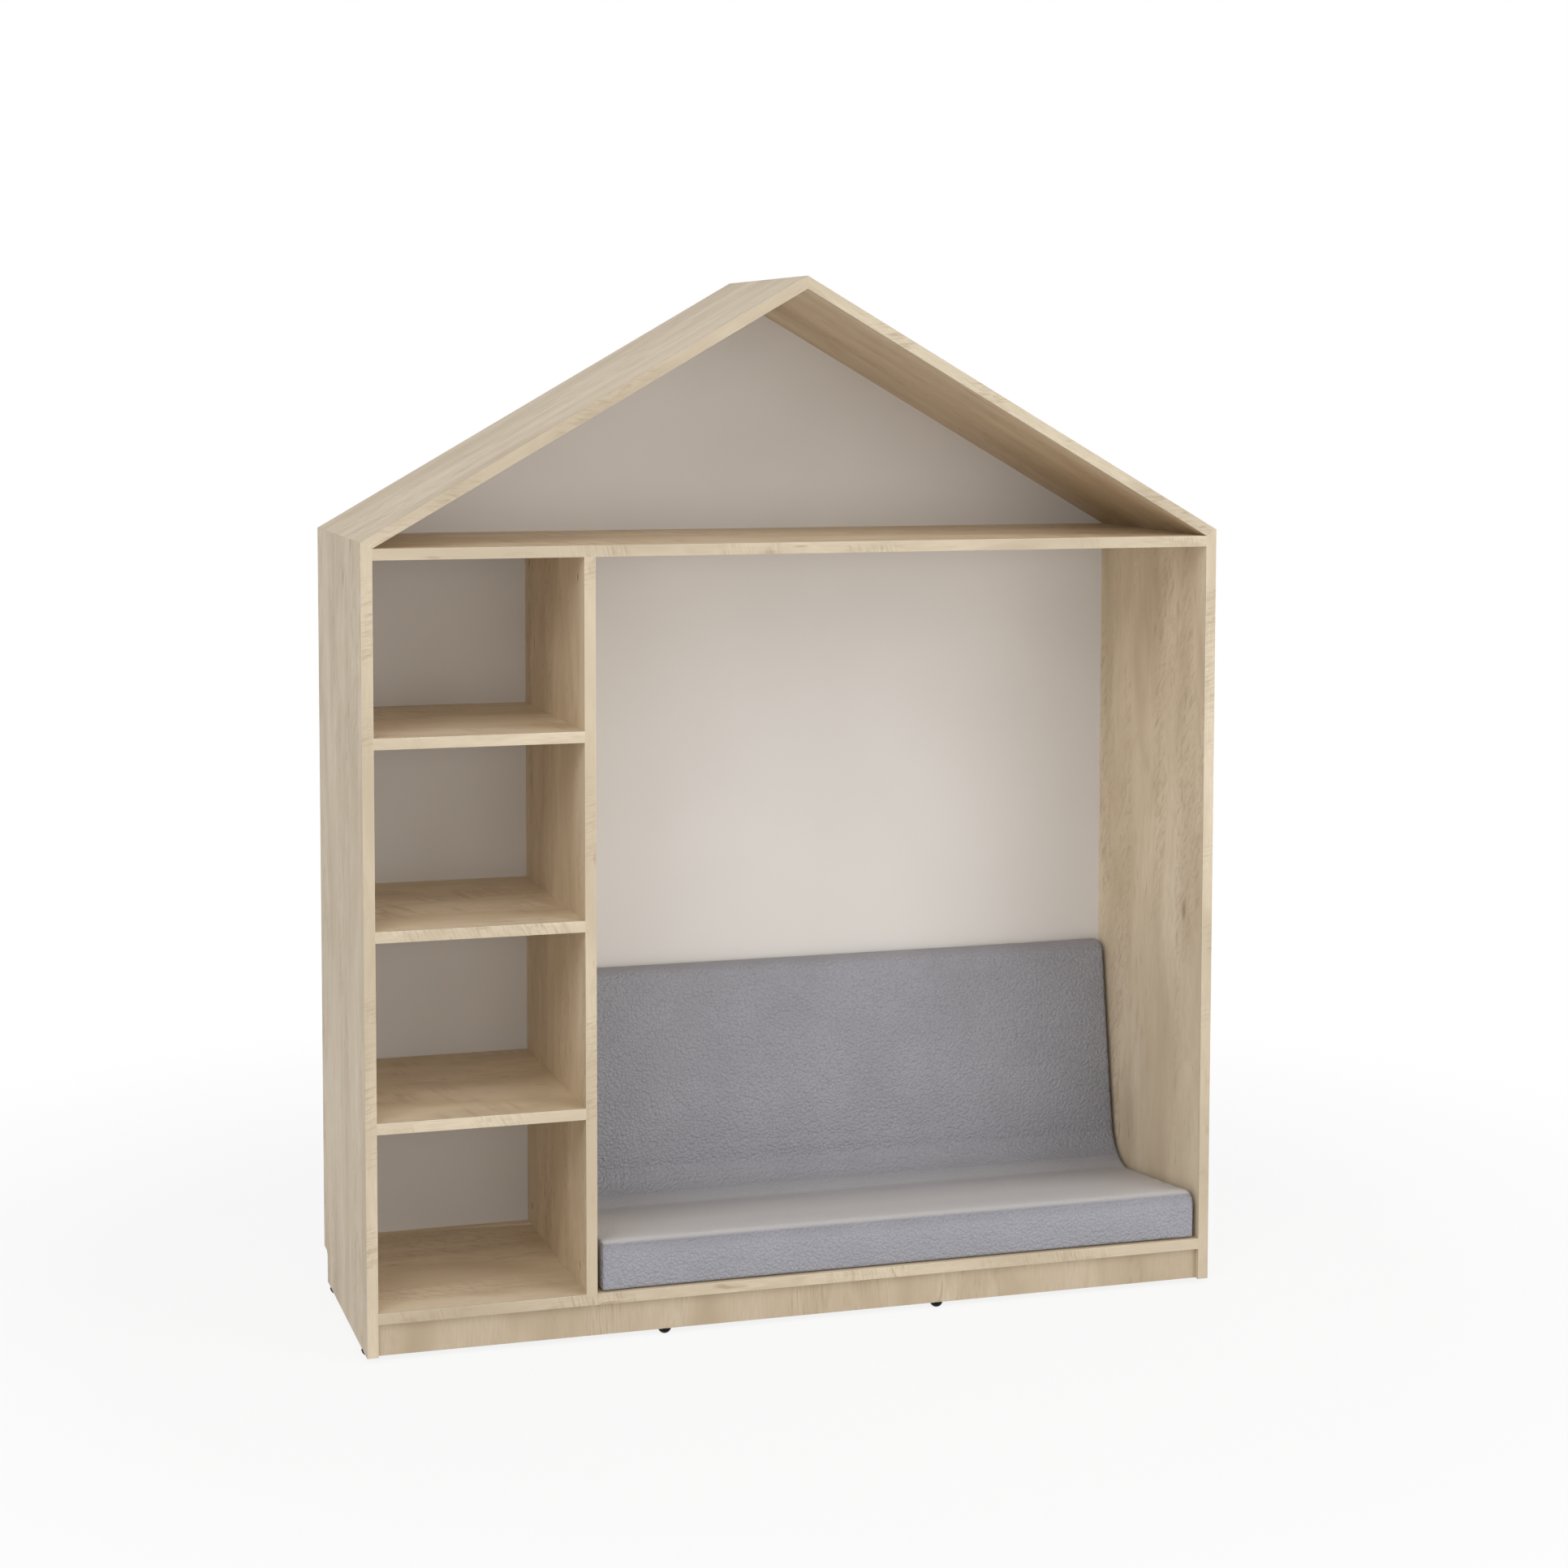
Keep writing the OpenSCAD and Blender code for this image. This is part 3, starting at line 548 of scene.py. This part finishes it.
# ---- Feet ------------------------------------------------------------------
# Eight black plastic domes, moulded on steel studs, screw into threaded
# sleeves that are pressed into the side panels and the plinths.
foot_black = (0.003, 0.003, 0.003)
foot_scuffed = (0.007, 0.007, 0.008)
foot_rough = (0.25, 0.40)
foot_gloss = 0.12
foot_counts = (260, 260, 260)

foot_plastic = fitting("foot_plastic", foot_black, foot_scuffed, 0, foot_rough, foot_counts)
shader = foot_plastic.node_tree.nodes["Principled BSDF"]
shader.inputs["Specular IOR Level"].default_value = foot_gloss
finish_node("foot_sleeves", plated)
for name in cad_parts:
    if name.endswith("_foot"):
        finish_node(name, foot_plastic)

# ---- Cushion ---------------------------------------------------------------
# The seat and its back are one L-shaped block of foam in a tight cover of grey
# imitation leather with a pebbled grain. It is loose: it rests on the bottom
# panel, leans on the back, and can be pulled out to the front.
seat_front_t, seat_rear_t = 0.083, 0.046
rest_low_t, rest_top_t = 0.104, 0.039
nose_r, lap_r, hem_r, end_r = 0.022, 0.070, 0.003, 0.0035
nose_steps, lap_steps, hem_steps, end_steps = 7, 14, 3, 3
left_room, right_room = 0.0025, 0.0005
draw_in = 0.005
end_facing = 0.99

# The cover swells by no more than the cap, and less where it touches the wood.
swell_room = 0.0025
voxel = 0.0055
cover_mass = 0.3
cloth_quality = 5
air_pressure = 4
swell_frames = 12
swell_cap = 0.003
touching = 0.0006

# The side view from the rear bottom corner round by the front: place, radius and steps.
low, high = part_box("cushion_cover")
rear_y, base_z = high.y, low.z
front_y, top_z = low.y + swell_room, high.z - swell_room
side_view = [
    (rear_y, base_z, hem_r, hem_steps),
    (front_y, base_z, hem_r, hem_steps),
    (front_y, base_z + seat_front_t - swell_room, nose_r, nose_steps),
    (rear_y - rest_low_t + swell_room, base_z + seat_rear_t - swell_room, lap_r, lap_steps),
    (rear_y - rest_top_t + swell_room, top_z, nose_r, nose_steps),
    (rear_y, top_z, hem_r, hem_steps),
]

corners = [Vector((low.x + left_room, y, z)) for y, z, radius, steps in side_view]
bm = bmesh.new()
bm.faces.new([bm.verts.new(corner) for corner in corners])
for k, (y, z, radius, steps) in enumerate(side_view):
    here, last, following = corners[k], corners[k - 1], corners[(k + 1) % len(corners)]
    turn = pi - (following - here).angle(last - here)
    bmesh.ops.bevel(
        bm,
        geom=[min(bm.verts, key=lambda vert: (vert.co - here).length)],
        offset=radius * tan(turn / 2),
        offset_type="OFFSET",
        segments=steps,
        profile=0.5,
        affect="VERTICES",
        material=-1,
    )
length = high.x - low.x - left_room - right_room
grown = bmesh.ops.extrude_face_region(bm, geom=bm.faces[:])["geom"]
grown_verts = [part for part in grown if isinstance(part, bmesh.types.BMVert)]
bmesh.ops.translate(bm, vec=(length, 0, 0), verts=grown_verts)
bmesh.ops.recalc_face_normals(bm, faces=bm.faces)
ends = [face for face in bm.faces if abs(face.normal.x) > end_facing]
rims = [edge for edge in bm.edges if sum(face in ends for face in edge.link_faces) == 1]
bmesh.ops.bevel(
    bm,
    geom=rims,
    offset=end_r,
    offset_type="OFFSET",
    segments=end_steps,
    profile=0.5,
    affect="EDGES",
    material=-1,
)
ends = [face for face in bm.faces if abs(face.normal.x) > end_facing and len(face.verts) > 4]
for hub in bmesh.ops.poke(bm, faces=ends)["verts"]:
    inward = draw_in if hub.co.x < (low.x + high.x) / 2 else -draw_in
    hub.co = (hub.co.x + inward, rear_y - rest_low_t / 2, base_z + seat_rear_t / 2)
block_mesh = bpy.data.meshes.new("cushion_block")
bm.to_mesh(block_mesh)
bm.free()
cushion = bpy.data.objects.new("cushion", block_mesh)
scene.collection.objects.link(cushion)


def as_modified(piece):
    """The mesh of a piece with its modifiers applied."""
    seen = piece.evaluated_get(bpy.context.evaluated_depsgraph_get())
    return bpy.data.meshes.new_from_object(seen)


def points(mesh):
    """The places of a mesh's vertices, one row each."""
    places = np.empty(len(mesh.vertices) * 3)
    mesh.vertices.foreach_get("co", places)
    return places.reshape(-1, 3)


remesh = cushion.modifiers.new("even_faces", "REMESH")
remesh.mode = "VOXEL"
remesh.voxel_size = voxel
even = as_modified(cushion)
cushion.modifiers.clear()
cushion.data = even
before = points(even)
cloth = cushion.modifiers.new("swelling", "CLOTH")
cloth.settings.quality = cloth_quality
cloth.settings.mass = cover_mass
cloth.settings.use_pressure = True
cloth.settings.uniform_pressure_force = air_pressure
cloth.settings.effector_weights.gravity = 0
cloth.point_cache.frame_start = 1
cloth.point_cache.frame_end = swell_frames
for step in range(1, swell_frames + 1):
    scene.frame_set(step)
swollen = as_modified(cushion)
cushion.modifiers.clear()
scene.frame_set(1)
moved = points(swollen) - before
furthest = np.linalg.norm(moved, axis=1).max()
after = before + moved * min(1, swell_cap / furthest)
after = np.clip(after, np.array(low), np.array(high))

# What rests on the bottom panel and what leans on the back stay flat.
resting = before[:, 2] < base_z + touching
after[resting, 2] = base_z
leaning = before[:, 1] > rear_y - touching
after[leaning, 1] = rear_y
swollen.vertices.foreach_set("co", after.ravel())
cushion.data = swollen
cushion.data.name = "cushion"
cushion.data.shade_smooth()

leather_pale = (0.292, 0.291, 0.321)
leather_deep = (0.204, 0.203, 0.226)
# Painted lighting: the seat top's paler tone, and on the next line the seat front's.
leather_top_lit = (0.574, 0.563, 0.568)
leather_front_lit = (0.430, 0.428, 0.472)
leather_rough = (0.40, 0.55)
leather_gloss = 0.5
pebbles = 250.0
pebble_stretch = (0.80, 0.85, 0.90)
pebble_depth = 0.0018
creases = 800.0
crease_share = 0.10
wander_scale = 60.0
wander_reach = 0.005
wear_counts = (9, 9, 9)
wear_share = 0.35
# How strongly the painted shade in the pebble hollows shows.
pebble_shade_share = 0.5
# How strongly the painted shade in the fold shows.
fold_shade_share = 0.5
# How strongly the painted lighting on the seat's front shows.
front_light_share = 0.20

# Pebbles and creases wander a little off their places, so that they lie in no rows.
leather, tree, shader = new_material("grey_leather")
axes = node(tree, "TexCoord").outputs
wandering = {"Vector": axes["Object"], "Scale": wander_scale, "Detail": 2.0}
wander = node(tree, "TexNoise", wandering).outputs["Color"]
drift = node(tree, "VectorMath", {0: wander, 1: (0.5, 0.5, 0.5)}, operation="SUBTRACT").outputs[0]
drift = node(tree, "VectorMath", {0: drift, "Scale": wander_reach}, operation="SCALE").outputs[0]
place = node(tree, "VectorMath", {0: axes["Object"], 1: drift}, operation="ADD").outputs[0]
grain = {"Vector": stretched(tree, place, pebble_stretch), "Scale": pebbles}
pebble = node(tree, "TexVoronoi", grain, feature="F1").outputs["Distance"]
crease = node(tree, "TexNoise", {"Vector": place, "Scale": creases, "Detail": 3.0}).outputs[0]
wear = flecks(tree, axes["Object"], wear_counts, 2)

# The grain is worn flatter on top of the seat, and its hollows are darkened as painted shade.
up = node(tree, "SeparateXYZ", {0: axes["Normal"]}).outputs["Z"]
grained = spread(tree, up, 0.55, 0.95, 1.0, 0.30)
pebble_shade = times(tree, spread(tree, pebble, 0.25, 0.75), grained)
tone = shade(tree, spread(tree, wear, 0.35, 0.65, 0, wear_share), leather_pale, leather_deep)
tone = shade(tree, times(tree, pebble_shade, pebble_shade_share), tone, leather_deep)

# Painted shade darkens the fold, and painted lighting makes the seat's front paler and its top
# lighter, most at the front.
cushion_axes = node(tree, "SeparateXYZ", {0: axes["Object"]}).outputs
depth, height = cushion_axes["Y"], cushion_axes["Z"]
fold_shade = times(tree, spread(tree, depth, -0.02, 0.08), spread(tree, height, 0.30, 0.14))
tone = shade(tree, times(tree, fold_shade, fold_shade_share), tone, leather_deep)
front_light = times(tree, spread(tree, depth, -0.19, -0.22), spread(tree, up, 0.50, 0.10))
tone = shade(tree, times(tree, front_light, front_light_share), tone, leather_front_lit)
top_light = times(tree, spread(tree, up, 0.78, 0.99), spread(tree, depth, 0.18, -0.10))
tone = shade(tree, top_light, tone, leather_top_lit)

rough = spread(tree, crease, 0.3, 0.7, *leather_rough)
rise = node(tree, "Math", {0: pebble, 1: -1.0, 2: 1.0}, operation="MULTIPLY_ADD").outputs[0]
creased = {0: crease, 1: crease_share, 2: rise}
rise = node(tree, "Math", creased, operation="MULTIPLY_ADD").outputs[0]
dress(tree, shader, tone, rough, rise, grained, pebble_depth)
shader.inputs["Specular IOR Level"].default_value = leather_gloss
cushion.data.materials.clear()
cushion.data.materials.append(leather)

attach(cushion, "cushion")
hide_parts("cushion_cover", "foam_core")
